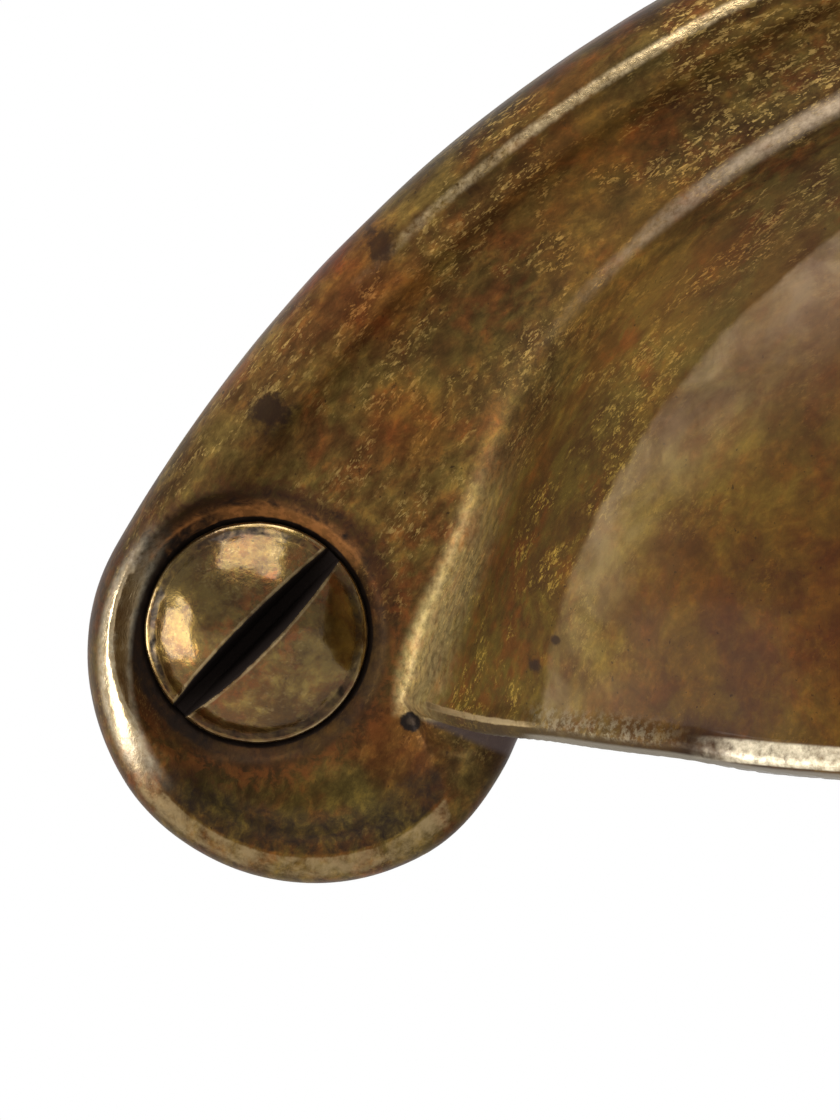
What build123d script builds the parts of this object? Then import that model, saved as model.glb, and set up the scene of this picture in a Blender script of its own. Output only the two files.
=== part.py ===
from build123d import *
import math
import os

# An old cast-brass bin pull for a drawer, with its two countersunk wood screws.
#
# Frame: the drawer's face is the plane y = 0 and the pull stands out from it towards -Y.
# +X is to the right seen from the front and +Z is up.
# The origin is midway between the two screws, on the drawer's face.
# All lengths are in millimetres and all angles in degrees.

# Plan of the flange, seen from the front
screw_spacing = 76.2
arch_height = 27.9  # top of the flange above the screws
ear_radius = 7.6  # round ear at each end
ear_inset = 1.85  # ear centre inboard of its screw
ear_drop = 0.9  # ear centre below the screws

# Section of the flange
floor_thickness = 2.4  # channel and ear floor, above the drawer's face
rim_rise = 0.85  # crest of the rim above that floor
rim_radius = 1.3  # outer roll of the rim
crest_radius = 0.9  # inner shoulder of the rim
channel_radius = 3.2  # hollow curve from the rim down to the floor
channel_reach = 15.0  # how far in from the edge the arch's section is drawn

# Cup
cup_side_gap = 3.15  # ear centre to the side of the cup
cup_top_gap = 5.3  # top of the cup below the top of the flange
cup_depth = 20.0  # front of the cup from the drawer's face
cup_wall = 1.1
lip_drop = 2.0  # lip's centre line below the screws
lip_bead_radius = 0.6
lip_bead_proud = 0.25  # how far the rolled lip stands out of the cup's front
toe_radius = 1.1  # blend where the cup grows out of the flange
toe_tolerance = 0.001  # how near an edge lies to the toe line to count as part of it

# Screws
head_radius = 3.76
head_angle = 82.0  # included angle of the countersink
head_edge = 0.2  # upright edge of the head
head_ring_width = 0.42  # bevelled ring round the dome
head_ring_rise = 0.14
dome_rise = 1.25
shank_radius = 1.9
shank_behind = 6.5  # plain shank behind the drawer's face
thread_root_radius = 1.35
thread_behind = 12.5  # threaded stretch and its point, behind the plain shank
point_length = 3.5
point_radius = 0.25
slot_floor_width = 0.5
slot_flare = 19.0  # lean of each slot wall
slot_floor_height = 0.05  # slot floor above the head's edge
left_slot_turn = 46.0  # slot direction from +X towards +Z
right_slot_turn = 108.0

# Seat of a screw in its ear
recess_radius = 4.45  # dished ring round the head, at the floor
recess_depth = 0.35
recess_lean = 0.4  # how far the ring's wall leans out over the rise of the rim
bore_clearance = 0.2  # bore radius over shank radius

# Derived places
screw_x = screw_spacing / 2
ear_x = screw_x - ear_inset
ear_z = -ear_drop
ear_to_top = arch_height - ear_z
arch_radius = (ear_x**2 + ear_to_top**2 - ear_radius**2) / (2 * (ear_to_top - ear_radius))
arch_to_ear = arch_radius - ear_radius
arch_z = ear_z - math.sqrt(arch_to_ear**2 - ear_x**2)
tangent_angle = math.degrees(math.atan2(ear_z - arch_z, ear_x))
lip_z = -lip_drop
cup_half_width = ear_x - cup_side_gap
cup_rise = arch_height - cup_top_gap - lip_z
rim_crest = floor_thickness + rim_rise
head_edge_y = -(floor_thickness - recess_depth)
bore_radius = shank_radius + bore_clearance
half_head_angle = math.radians(head_angle / 2)
far = 2 * arch_radius  # larger than anything in the pull


def flange_section(reach):
    """Section of the flange: x is the distance in from the edge, y the depth from the drawer."""
    slope = math.acos(1 - rim_rise / (crest_radius + channel_radius))
    side = rim_crest - rim_radius
    diagonal = math.sqrt(0.5)
    crest = (rim_radius, -rim_crest)
    roll_middle = (rim_radius * (1 - diagonal), -(side + rim_radius * diagonal))
    shoulder = (
        rim_radius + crest_radius * math.sin(slope),
        -(rim_crest - crest_radius * (1 - math.cos(slope))),
    )
    shoulder_middle = (
        rim_radius + crest_radius * math.sin(slope / 2),
        -(rim_crest - crest_radius * (1 - math.cos(slope / 2))),
    )
    channel_x = shoulder[0] + channel_radius * math.sin(slope)
    channel_middle = (
        channel_x - channel_radius * math.sin(slope / 2),
        -(floor_thickness + channel_radius * (1 - math.cos(slope / 2))),
    )
    floor_start = (channel_x, -floor_thickness)
    edges = [
        Line((0, 0), (0, -side)),
        ThreePointArc((0, -side), roll_middle, crest),
        ThreePointArc(crest, shoulder_middle, shoulder),
        ThreePointArc(shoulder, channel_middle, floor_start),
        Line(floor_start, (reach, -floor_thickness)),
        Line((reach, -floor_thickness), (reach, 0)),
        Line((reach, 0), (0, 0)),
    ]
    return make_face(Curve() + edges)


def ring_sector(edge_radius, reach, centre_x, centre_z, start, end):
    """The flange's section turned about an axis through a plan centre, from start to end."""
    section = flange_section(reach)
    radial = Pos(edge_radius, 0, 0) * mirror(section, about=Plane.YZ)
    ring = revolve(radial, axis=Axis.Y, revolution_arc=end - start)
    return Pos(centre_x, 0, centre_z) * Rot(0, -end, 0) * ring


def ear(side):
    """One round ear: its rim runs from the arch round the bottom to the cup's lip."""
    lip_angle = math.degrees(math.asin((lip_z - ear_z) / ear_radius))
    if side < 0:
        start, end = 180 - tangent_angle, 360 + lip_angle
    else:
        start, end = -180 - lip_angle, tangent_angle
    rim = ring_sector(ear_radius, ear_radius, side * ear_x, ear_z, start, end)
    floor_disc = Pos(side * ear_x, -floor_thickness / 2, ear_z) * Rot(90, 0, 0) * Cylinder(
        ear_radius, floor_thickness
    )
    return rim + floor_disc


def ellipsoid(inset):
    """The cup's form about the middle of its lip line, drawn in by inset."""
    half_axes = (cup_half_width - inset, cup_depth - inset, cup_rise - inset)
    return Pos(0, 0, lip_z) * scale(Sphere(1), by=half_axes)


def above_lip():
    """The space in front of the drawer and above the lip's centre line."""
    return Pos(0, -far / 2, lip_z + far / 2) * Box(2 * far, far, far)


def lip_bead():
    """Full round along the cup's lower edge."""
    inset = lip_bead_radius - lip_bead_proud
    half_width = cup_half_width - inset
    depth = cup_depth - inset
    lip_plane = Plane(origin=(0, 0, lip_z), x_dir=(1, 0, 0), z_dir=(0, 0, 1))
    path = lip_plane * EllipticalCenterArc((0, 0), half_width, depth, start_angle=180, arc_size=180)
    start = Plane(origin=path @ 0, z_dir=path % 0)
    return sweep(start * Circle(lip_bead_radius), path=path)


def screw_seat(side):
    """What is cut from an ear for its screw: dished ring, countersink and bore."""
    seat_depth = (head_radius - bore_radius) / math.tan(half_head_angle)
    cut_top = -rim_crest - recess_depth
    cut_rise = -cut_top - floor_thickness
    cut_radius = recess_radius + recess_lean * cut_rise / rim_rise
    points = [
        (0, far),
        (bore_radius, far),
        (bore_radius, head_edge_y + seat_depth),
        (head_radius, head_edge_y),
        (recess_radius, -floor_thickness),
        (cut_radius, cut_top),
        (0, cut_top),
    ]
    profile = make_face(Polyline(*points, close=True))
    return Pos(side * screw_x, 0, 0) * revolve(profile, axis=Axis.Y)


def on_toe(edge):
    """Whether an edge lies where the cup's form meets the flange floor."""
    shrink = math.sqrt(1 - (floor_thickness / cup_depth) ** 2)
    for place in (0, 0.5, 1):
        point = edge @ place
        across = point.X / (cup_half_width * shrink)
        up = (point.Z - lip_z) / (cup_rise * shrink)
        off_floor = abs(point.Y + floor_thickness)
        if off_floor > toe_tolerance or abs(math.hypot(across, up) - 1) > toe_tolerance:
            return False
    return True


def within_outline():
    """Everything in front of the flange's plan: a wedge of the arch's disc and the two ears."""
    span = 180 - 2 * tangent_angle
    wedge_section = Plane.XY * Pos(arch_radius / 2, -far / 2) * Rectangle(arch_radius, far)
    wedge = revolve(wedge_section, axis=Axis.Y, revolution_arc=span)
    plan = Pos(0, 0, arch_z) * Rot(0, tangent_angle - 180, 0) * wedge
    for side in (-1, 1):
        plan += Pos(side * ear_x, -far / 2, ear_z) * Rot(90, 0, 0) * Cylinder(ear_radius, far)
    return plan


def solid_cup():
    """The cup still solid, blended into a flat floor that is trimmed to the flange's plan."""
    floor = Pos(0, -floor_thickness / 2, 0) * Box(2 * far, floor_thickness, 2 * far)
    in_front = Pos(0, -far / 2, 0) * Box(2 * far, far, 2 * far)
    cup = floor + (ellipsoid(0) & in_front)
    blended = fillet([edge for edge in cup.edges() if on_toe(edge)], toe_radius)
    return blended & above_lip() & within_outline()


def pull_body():
    arch = ring_sector(arch_radius, channel_reach, 0, arch_z, tangent_angle, 180 - tangent_angle)
    hollow = ellipsoid(cup_wall) & above_lip()
    body = arch + ear(-1) + ear(1) + solid_cup() - hollow + lip_bead()
    for side in (-1, 1):
        body = body - screw_seat(side)
    return body


def screw(side, slot_turn):
    """Raised countersunk wood screw: slotted dome, countersunk head, shank and tapered core."""
    dome_foot = head_radius - head_ring_width
    dome_y = head_edge_y - head_edge - head_ring_rise
    apex_y = dome_y - dome_rise
    dome_ball = (dome_foot**2 + dome_rise**2) / (2 * dome_rise)
    half_span = math.asin(dome_foot / dome_ball) / 2
    dome_middle = (dome_ball * math.sin(half_span), apex_y + dome_ball * (1 - math.cos(half_span)))
    neck_y = head_edge_y + (head_radius - shank_radius) / math.tan(half_head_angle)
    thread_end = shank_behind + thread_behind
    outline = [
        ThreePointArc((0, apex_y), dome_middle, (dome_foot, dome_y)),
        Polyline(
            (dome_foot, dome_y),
            (head_radius, head_edge_y - head_edge),
            (head_radius, head_edge_y),
            (shank_radius, neck_y),
            (shank_radius, shank_behind),
            (thread_root_radius, shank_behind + shank_radius - thread_root_radius),
            (thread_root_radius, thread_end - point_length),
            (point_radius, thread_end - point_radius),
            (0, thread_end),
            (0, apex_y),
        ),
    ]
    blank = revolve(make_face(Curve() + outline), axis=Axis.Y)
    slot_floor_y = head_edge_y - slot_floor_height
    slot_top_y = apex_y - dome_rise
    half_floor = slot_floor_width / 2
    half_top = half_floor + (slot_floor_y - slot_top_y) * math.tan(math.radians(slot_flare))
    slot_section = Plane.XY * Polyline(
        (-half_floor, slot_floor_y),
        (half_floor, slot_floor_y),
        (half_top, slot_top_y),
        (-half_top, slot_top_y),
        close=True,
    )
    slot = Rot(0, 90 - slot_turn, 0) * extrude(make_face(slot_section), 2 * head_radius, both=True)
    return Pos(side * screw_x, 0, 0) * (blank - slot)


nodes = {
    "pull_body": pull_body(),
    "left_screw": screw(-1, left_slot_turn),
    "right_screw": screw(1, right_slot_turn),
}
os.makedirs("parts", exist_ok=True)
for name, shape in nodes.items():
    export_step(shape, f"parts/{name}.step")
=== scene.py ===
# An old cast-brass bin pull with its two slotted wood screws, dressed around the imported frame.
import math
from types import SimpleNamespace
import bpy
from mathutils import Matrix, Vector


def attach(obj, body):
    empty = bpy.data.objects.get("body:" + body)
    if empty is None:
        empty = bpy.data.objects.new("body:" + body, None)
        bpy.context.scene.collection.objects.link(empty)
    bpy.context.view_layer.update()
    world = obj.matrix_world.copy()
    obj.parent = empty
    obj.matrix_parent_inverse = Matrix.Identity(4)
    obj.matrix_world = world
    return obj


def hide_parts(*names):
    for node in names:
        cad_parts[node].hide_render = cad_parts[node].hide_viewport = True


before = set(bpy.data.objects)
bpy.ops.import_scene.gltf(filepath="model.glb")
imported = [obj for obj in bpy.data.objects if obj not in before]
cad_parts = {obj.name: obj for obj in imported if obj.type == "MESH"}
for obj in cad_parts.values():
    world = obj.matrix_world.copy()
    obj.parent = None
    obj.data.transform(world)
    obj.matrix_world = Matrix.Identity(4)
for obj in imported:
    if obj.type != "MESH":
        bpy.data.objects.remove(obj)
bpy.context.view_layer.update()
print("frame loaded")

millimetre = 0.001


class term:  # one socket of a node tree, so that a rule reads as a sum of terms and numbers
    def __init__(self, tree, socket):
        self.tree = tree
        self.socket = socket

    def math(self, operation, *others):
        inputs = dict(enumerate((self, *others)))
        node = addNode(self.tree, "ShaderNodeMath", inputs, operation=operation)
        return term(self.tree, node.outputs[0])

    def __add__(self, other):
        return self.math("ADD", other)

    def __sub__(self, other):
        return self.math("SUBTRACT", other)

    def __rsub__(self, other):
        return number(self.tree, other).math("SUBTRACT", self)

    def __mul__(self, other):
        return self.math("MULTIPLY", other)

    def __truediv__(self, other):
        return self.math("DIVIDE", other)

    def __neg__(self):
        return self.math("MULTIPLY", -1.0)

    __radd__ = __add__
    __rmul__ = __mul__


def plug(tree, value, socket):
    if isinstance(value, term):
        value = value.socket
    if isinstance(value, bpy.types.NodeSocket):
        tree.links.new(value, socket)
    else:
        socket.default_value = value


def plugAll(tree, node, values):  # values by the label or number of the input
    for label, value in values.items():
        plug(tree, value, node.inputs[label])


def addNode(tree, kind, inputs=None, **settings):
    node = tree.nodes.new(kind)
    for name, value in settings.items():
        setattr(node, name, value)
    plugAll(tree, node, inputs or {})
    return node


def number(tree, value):
    node = tree.nodes.new("ShaderNodeValue")
    node.outputs[0].default_value = value
    return term(tree, node.outputs[0])


def least(a, b):
    return a.math("MINIMUM", b)


def most(a, b):
    return a.math("MAXIMUM", b)


def softLeast(a, b, blend):
    return a.math("SMOOTH_MIN", b, blend)


def softMost(a, b, blend):
    return a.math("SMOOTH_MAX", b, blend)


def root(a):
    return a.math("SQRT")


def size2(a, b):
    return root(a * a + b * b)


def size3(a, b, c):
    return root(a * a + b * b + c * c)


def step(a, low, high):  # smooth 0..1 as a goes from low to high
    node = addNode(a.tree, "ShaderNodeMapRange", {"Value": a, "From Min": low, "From Max": high},
                   interpolation_type="SMOOTHSTEP")
    return term(a.tree, node.outputs["Result"])


def bandOf(value, low, peakLow, peakHigh, high):  # 0 below low, 1 between the peaks, 0 above high
    return step(value, low, peakLow) * step(value, high, peakHigh)


def choose(test, yes, no):  # test is 1 or 0
    return no + test * (yes - no)


def split(tree, vector):
    node = addNode(tree, "ShaderNodeSeparateXYZ", {0: vector})
    return [term(tree, socket) for socket in node.outputs]


def join(tree, x, y, z):
    return addNode(tree, "ShaderNodeCombineXYZ", {"X": x, "Y": y, "Z": z}).outputs[0]


def scaleVector(tree, vector, factor):
    node = addNode(tree, "ShaderNodeVectorMath", {0: vector, "Scale": factor}, operation="SCALE")
    return node.outputs[0]


def noise(tree, vector, scale, detail=3.0, roughness=0.55, distortion=0.0, seed=None):
    inputs = {"Vector": vector, "Scale": scale, "Detail": detail, "Roughness": roughness,
              "Distortion": distortion}
    if seed is not None:
        inputs["W"] = seed
    dimensions = "3D" if seed is None else "4D"
    node = addNode(tree, "ShaderNodeTexNoise", inputs, noise_dimensions=dimensions)
    return term(tree, node.outputs[0])


def newTree(name, kind, inputs, outputs):
    # an input's default tells what it is: None for a vector, a tuple for a colour, or a number
    tree = bpy.data.node_groups.new(name, kind)
    for label, value in inputs.items():
        what = "Vector" if value is None else "Color" if isinstance(value, tuple) else "Float"
        socket = tree.interface.new_socket(label, in_out="INPUT", socket_type="NodeSocket" + what)
        if value is not None:
            socket.default_value = value
    for label, what in outputs.items():
        tree.interface.new_socket(label, in_out="OUTPUT", socket_type="NodeSocket" + what)
    return tree, tree.nodes.new("NodeGroupInput"), tree.nodes.new("NodeGroupOutput")


def useGroup(tree, group, **values):  # a node group with its inputs plugged, its outputs by name
    kind = "GeometryNodeGroup" if tree.bl_idname == "GeometryNodeTree" else "ShaderNodeGroup"
    return addNode(tree, kind, values, node_tree=group)


# the pull's own sizes, in millimetres
pullSizes = {
    "archRadius": 49.2,
    "archZ": -21.307,
    "earRadius": 7.6,
    "earX": 36.25,
    "earZ": -0.9,
    "floorHeight": 2.4,
    "rimRise": 0.85,
    "rimRadius": 2.0,
    "crestRadius": 0.9,
    "channelRadius": 3.2,
    "cupHalfWidth": 32.35,
    "cupRise": 24.1,
    "cupDepth": 20.0,
    "cupWall": 1.1,
    "hollowDrop": 0.3,
    "lipZ": -2.0,
    "lipSway": 0.22,
    "beadRadius": 0.56,
    "beadProud": 0.22,
    "beadDrop": 0.06,
    "lipBlend": 0.4,
    "footFlare": 0.7,
    "footWaist": 0.4,
    "toeSharp": 0.6,
    "toeWide": 1.5,
    "toeSoft": 5.5,
    "landBlend": 0.35,
    "landZ": -1.05,
    "landSlope": 0.42,
    "landEnd": 32.3,
    "landTurn": 2.4,
    "earRimSlim": 0.8,
    "earFlare": 0.17,
    "screwX": 38.1,
    "headRadius": 3.82,
    "headSeat": 2.0,
    "recessRadius": 4.45,
    "recessHeight": 2.4,
    "boreRadius": 2.1,
}
# where along an axis a change starts and where it is complete, in millimetres
pullSpans = {
    "flareBelow": (-7.6, -4.6),
    "flareAbove": (-2.5, -3.7),
    "flareAcross": (33.9, 32.0),
    "lowEar": (-2.0, -6.0),
    "byLipAcross": (33.5, 31.0),
    "byLipUp": (2.0, -2.5),
    "swayOut": (30.5, 27.0),
    "swayIn": (20.0, 24.0),
    "footFlare": (3.4, -2.6),
    "waistBelow": (-2.2, 4.6),
    "waistAbove": (15.0, 6.0),
    "footDeep": (10.0, 3.0),
    "footAcross": (18.0, 26.0),
    "toeOpens": (-3.1, 0.5),
    "coveOpens": (2.0, 15.0),
    "landDeep": (5.5, 2.8),
}
# faces of a screw's seat: height and radius where each starts, its lean, and that slope's length
seatFaces = (
    ("headSeat", "headRadius", 1.15, 1.52),
    ("headSeat", "headRadius", 0.55, 1.14),
    ("recessHeight", "recessRadius", 1.6, 1.89),
)
# how wide two faces are blended, in millimetres
pullBlends = {
    "earLand": 0.4,
    "edge": 0.2,
    "back": 0.3,
    "seat": 0.6,
}


def terms(tree, source, names):
    return {name: term(tree, source.outputs[name]) for name in names}


def flangeGaps(s, u, z):
    # distance in from the flange's outline, by the arch or by the ear, and the local radii
    dArch = s["archRadius"] - size2(u, z - s["archZ"])
    ex = u - s["earX"]
    ez = z - s["earZ"]
    # the ear flares out where it runs into the lip, so it is a little slimmer just before
    slim = step(z, *pullSpans["flareBelow"]) * step(z, *pullSpans["flareAbove"])
    slim = slim * step(u, *pullSpans["flareAcross"])
    dEar = s["earRadius"] - size2(ex, ez) - s["earFlare"] * slim
    reach = s["archRadius"] - s["earRadius"]
    side = (s["earX"] / reach) * ez - ((s["earZ"] - s["archZ"]) / reach) * ex
    archSide = side.math("GREATER_THAN", 0.0) * z.math("GREATER_THAN", s["lipZ"])
    # under the lip the ear's rim turns in and runs along it as a low land, up to the pit
    low = step(z, *pullSpans["lowEar"])
    byLip = step(u, *pullSpans["byLipAcross"]) * step(z, *pullSpans["byLipUp"])
    rimRadius = s["rimRadius"] - s["earRimSlim"] * most(low + byLip * 0.5, byLip * 1.45)
    channelRadius = s["channelRadius"] * (1 - low * 0.45)
    pastLand = most(u - s["landEnd"], 0.0) * s["landTurn"]
    landLine = s["landZ"] + (u - s["earX"]) * s["landSlope"] + pastLand
    dLand = most(landLine - z, 0.0) + rimRadius
    inset = choose(archSide, most(dEar, dArch), softLeast(dEar, dLand, pullBlends["earLand"]))
    return inset, rimRadius, channelRadius


def flangeSection(s, h, inset, rimRadius, channelRadius):
    # rolled rim, hollow channel, flat floor; the last factor keeps a sloping face's distance true
    crest = s["floorHeight"] + s["rimRise"]
    qx = rimRadius - inset
    qh = h - (crest - rimRadius)
    roll = size2(most(qx, 0.0), most(qh, 0.0)) + least(most(qx, qh), 0.0) - rimRadius
    slope = (1 - s["rimRise"] / (s["crestRadius"] + channelRadius)).math("ARCCOSINE")
    shoulder = s["crestRadius"] * slope.math("SINE")
    sweep = channelRadius * slope.math("SINE")
    past = inset - rimRadius
    onShoulder = crest - s["crestRadius"] + root(
        most(s["crestRadius"] * s["crestRadius"] - past * past, 0.0)
    )
    left = least(most(shoulder + sweep - past, 0.0), channelRadius * 0.99)
    onChannel = s["floorHeight"] + channelRadius - root(
        channelRadius * channelRadius - left * left
    )
    height = choose(past.math("LESS_THAN", shoulder), onShoulder, onChannel)
    return choose(past.math("LESS_THAN", 0.0), roll, (h - height) * 0.85)


def eggGap(s, u, h, z):
    # half an egg on its side, whose foot flares out at the lip and is drawn in above that
    waist = step(z, *pullSpans["waistBelow"]) * step(z, *pullSpans["waistAbove"])
    lean = s["footFlare"] * step(z, *pullSpans["footFlare"]) - s["footWaist"] * waist
    foot = u - lean * step(h, *pullSpans["footDeep"]) * step(u, *pullSpans["footAcross"])
    axes = s["cupHalfWidth"], s["cupDepth"], s["cupRise"]
    scaled = [part / axis for part, axis in zip((foot, h, z - s["lipZ"]), axes)]
    k0 = size3(*scaled)
    k1 = size3(*(part / axis for part, axis in zip(scaled, axes)))
    return k0 * (k0 - 1) / most(k1, 1e-4)


def pullDistanceGroup():
    tree, source, sink = newTree(
        "pullDistance", "GeometryNodeTree", {"Place": None, **pullSizes},
        dict.fromkeys(("Distance", "edgeInset", "cupGap", "screwGap"), "Float"),
    )
    s = terms(tree, source, pullSizes)
    x, y, z = split(tree, source.outputs["Place"])
    u = x.math("ABSOLUTE")
    h = -y
    edge = pullBlends["edge"]
    inset, rimRadius, channelRadius = flangeGaps(s, u, z)
    flange = flangeSection(s, h, inset, rimRadius, channelRadius)
    # the cup is open below the lip, which sways a little
    sway = s["lipSway"] * step(u, *pullSpans["swayOut"]) * step(u, *pullSpans["swayIn"])
    below = z - s["lipZ"] - sway
    egg = eggGap(s, u, h, z)
    cup = softMost(egg, -below, edge)
    # the toe is a crease near the lip and a wide cove over the top
    toe = s["toeSharp"] + (s["toeWide"] - s["toeSharp"]) * step(z, *pullSpans["toeOpens"])
    toe = toe + (s["toeSoft"] - s["toeWide"]) * step(z, *pullSpans["coveOpens"])
    body = softLeast(flange, cup, toe)
    hollow = softMost(egg + s["cupWall"], -(below + s["hollowDrop"]), edge)
    body = softMost(body, -hollow, edge)
    # rolled lip; the casting is filled in between it and the ear
    bead = size2(egg + (s["beadRadius"] - s["beadProud"]), below + s["beadDrop"])
    bead = bead - s["beadRadius"]
    land = s["lipBlend"] + (s["landBlend"] - s["lipBlend"]) * step(h, *pullSpans["landDeep"])
    body = softLeast(body, bead, land)
    body = softMost(body, -h, pullBlends["back"])
    # seat of the screw: countersink, dished ring and its leaning wall
    across = size2(u - s["screwX"], z)
    cone, ring, wall = (
        (h - s[height] - (across - s[radius]) * lean) / length
        for height, radius, lean, length in seatFaces
    )
    seat = softLeast(most(cone, ring), wall, pullBlends["seat"])
    body = softMost(body, most(seat, s["boreRadius"] - across), edge)
    plugAll(tree, sink, {"Distance": body, "edgeInset": inset, "cupGap": egg,
                         "screwGap": across - s["headRadius"]})
    return tree


castSizes = {
    "halfWidth": 44.5,
    "middleZ": 9.7,
    "halfHeight": 18.9,
    "depth": 21.2,
    "backMargin": 0.35,
    "cellsAcross": 290,
    "cellsDeep": 74,
    "cellsUp": 136,
    "finerAcross": 0.21,
    "finerUp": 0.17,
    "finerDeep": 0.43,
    "dentDepth": 0.16,
    "dentSize": 0.16,
    "seed": 4.0,
}


def gridPlace(tree, vector):  # the casting's grid is finer at the ears, the rim and the floor
    gx, gy, gz = split(tree, vector)
    halfWidth, halfHeight = castSizes["halfWidth"], castSizes["halfHeight"]
    across, up, inward = (castSizes[name] for name in ("finerAcross", "finerUp", "finerDeep"))
    x = gx * (halfWidth * (1 + across)) - gx * gx * gx * (halfWidth * across)
    z = gz * (halfHeight * (1 + up)) - gz * gz * gz * (halfHeight * up) + castSizes["middleZ"]
    deep = 1 - gy
    y = castSizes["backMargin"] - (deep * (1 - inward) + deep * deep * inward) * castSizes["depth"]
    return join(tree, x, y, z)


def setPosition(tree, geometry, **place):  # Position, or an Offset
    node = addNode(tree, "GeometryNodeSetPosition", {"Geometry": geometry, **place})
    return node.outputs[0]


def storeFloat(tree, geometry, name, value):
    inputs = {"Geometry": geometry, "Name": name, "Value": value}
    node = addNode(tree, "GeometryNodeStoreNamedAttribute", inputs, data_type="FLOAT",
                   domain="POINT")
    return node.outputs[0]


# how the skin is drawn onto its rule; lengths in millimetres
castDraw = {
    "rounds": 3,
    "nudge": 0.02,
    "leastSlope": 0.2,
    "farthest": 0.12,
    "dentFrom": 0.4,
    "dentDetail": 1.5,
}


def castTree(name, group, sizes, place, cells, settings, attributes, material):
    # a solid is cast from its distance rule: volume, skin, then the skin is drawn onto the rule
    tree, source, sink = newTree(
        name, "GeometryNodeTree",
        {**sizes, "Dent depth": settings["dentDepth"], "Dent size": settings["dentSize"],
         "Seed": settings["seed"]},
        {"Geometry": "Geometry"},
    )
    inputs = {label: source.outputs[label] for label in sizes}
    here = tree.nodes.new("GeometryNodeInputPosition").outputs[0]
    rule = useGroup(tree, group, Place=place(tree, here), **inputs)
    cube = addNode(tree, "GeometryNodeVolumeCube", {
        "Density": -term(tree, rule.outputs["Distance"]), "Background": -1.0,
        "Min": cells["low"], "Max": cells["high"],
        **{"Resolution " + axis: count for axis, count in zip("XYZ", cells["count"])},
    })
    skin = addNode(tree, "GeometryNodeVolumeToMesh", {"Volume": cube.outputs[0], "Threshold": 0.0})
    geometry = setPosition(tree, skin.outputs[0], Position=place(tree, here))

    def surface(place):  # the rule with shallow dents in it
        rule = useGroup(tree, group, Place=place, **inputs)
        dents = noise(tree, place, source.outputs["Dent size"], castDraw["dentDetail"], 0.5,
                      seed=source.outputs["Seed"])
        dent = most(dents - castDraw["dentFrom"], 0.0) * term(tree, source.outputs["Dent depth"])
        return term(tree, rule.outputs["Distance"]) + dent, rule

    def slopeAt():
        value, rule = surface(here)
        nudge = castDraw["nudge"]
        slopes = []
        for axis in range(3):
            shift = [0.0, 0.0, 0.0]
            shift[axis] = nudge
            moved = addNode(tree, "ShaderNodeVectorMath", {0: here, 1: shift}).outputs[0]
            slopes.append((surface(moved)[0] - value) / nudge)
        return value, slopes, rule

    farthest = castDraw["farthest"]
    for draw in range(castDraw["rounds"]):
        value, slopes, rule = slopeAt()
        steep = slopes[0] * slopes[0] + slopes[1] * slopes[1] + slopes[2] * slopes[2]
        move = most(least(-value / most(steep, castDraw["leastSlope"]), farthest), -farthest)
        geometry = setPosition(
            tree, geometry, Offset=scaleVector(tree, join(tree, *slopes), move)
        )
    value, slopes, rule = slopeAt()
    for label in attributes:
        geometry = storeFloat(tree, geometry, label, rule.outputs[label])
    smooth = addNode(tree, "GeometryNodeSetShadeSmooth", {"Geometry": geometry})
    normals = {"Mesh": smooth.outputs[0], "Custom Normal": join(tree, *slopes)}
    facing = addNode(tree, "GeometryNodeSetMeshNormal", normals, mode="FREE")
    inMetres = scaleVector(tree, here, millimetre)
    geometry = setPosition(tree, facing.outputs[0], Position=inMetres)
    real = addNode(tree, "GeometryNodeRealizeInstances", {"Geometry": geometry})
    finish = {"Geometry": real.outputs[0], "Material": material}
    plugAll(tree, sink, {"Geometry": addNode(tree, "GeometryNodeSetMaterial", finish).outputs[0]})
    return tree


def castPiece(name, tree, values, material):
    mesh = bpy.data.meshes.new(name + "Seed")
    piece = bpy.data.objects.new(name, mesh)
    bpy.context.scene.collection.objects.link(piece)
    modifier = piece.modifiers.new("cast", "NODES")
    modifier.node_group = tree
    for item in tree.interface.items_tree:
        if item.item_type == "SOCKET" and item.in_out == "INPUT" and item.name in values:
            modifier[item.identifier] = float(values[item.name])
    graph = bpy.context.evaluated_depsgraph_get()
    solid = bpy.data.meshes.new_from_object(piece.evaluated_get(graph), depsgraph=graph)
    piece.modifiers.remove(modifier)
    piece.data = solid
    solid.name = name
    bpy.data.meshes.remove(mesh)
    solid.materials.clear()
    solid.materials.append(material)
    print(name, len(solid.polygons), "faces")
    return piece


# the screws' sizes, in millimetres; their turn is in degrees
screwSizes = {
    "centreX": -38.1,
    "slotTurn": 46.0,
    "headRadius": 3.76,
    "headEdge": 2.05,
    "edgeHeight": 0.2,
    "ringWidth": 0.34,
    "ringRise": 0.14,
    "domeRise": 1.25,
    "coneSlope": 0.869,
    "shankRadius": 1.9,
    "plainShank": 6.5,
    "threadEnd": 19.0,
    "pointLength": 3.5,
    "coreRadius": 1.35,
    "pitch": 1.6,
    "slotFloor": 2.1,
    "slotHalf": 0.2,
    "slotFlare": 0.2,
    "slotWear": 0.14,
    "threadStart": 1.2,
}
# how wide two faces of a screw are blended, in millimetres
screwBlends = {
    "ring": 0.08,
    "brim": 0.12,
    "underside": 0.1,
    "point": 0.2,
    "neck": 0.4,
    "slotFloor": 0.1,
}


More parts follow.
